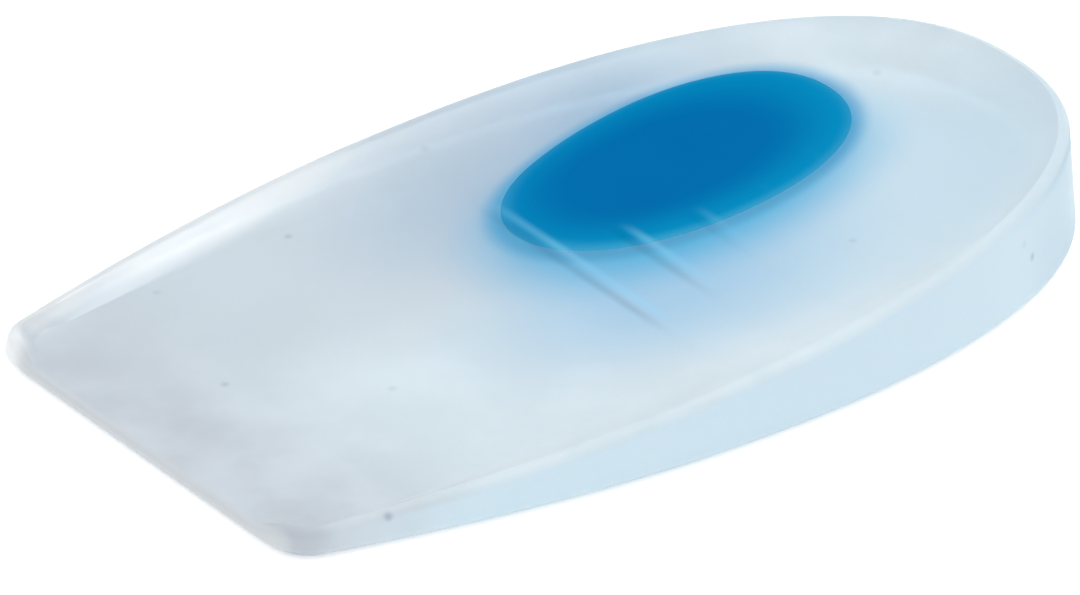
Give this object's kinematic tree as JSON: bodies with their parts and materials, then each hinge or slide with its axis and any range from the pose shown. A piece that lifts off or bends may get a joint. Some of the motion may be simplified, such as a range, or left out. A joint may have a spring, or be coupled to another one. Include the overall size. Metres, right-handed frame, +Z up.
{
  "type": "heel cushion",
  "caption": "Wedge-shaped translucent silicone heel cushion with a shallow heel dish, a soft blue oval inlay set off centre, and grooves across the underside.",
  "frame": {"origin": "middle of the underside, on the surface that the cushion lies on", "axes": "+X to the rounded heel end, +Y to the side that holds the soft inlay, +Z up"},
  "size_m": [0.105, 0.0638, 0.0116],
  "materials": {
    "clear_silicone": "milky translucent moulded silicone with a satin skin",
    "soft_blue_gel": "soft blue silicone gel with a satin skin"
  },
  "bodies": {
    "root": {"cushion_body": "clear_silicone", "soft_inlay": "soft_blue_gel"}
  },
  "joints": []
}
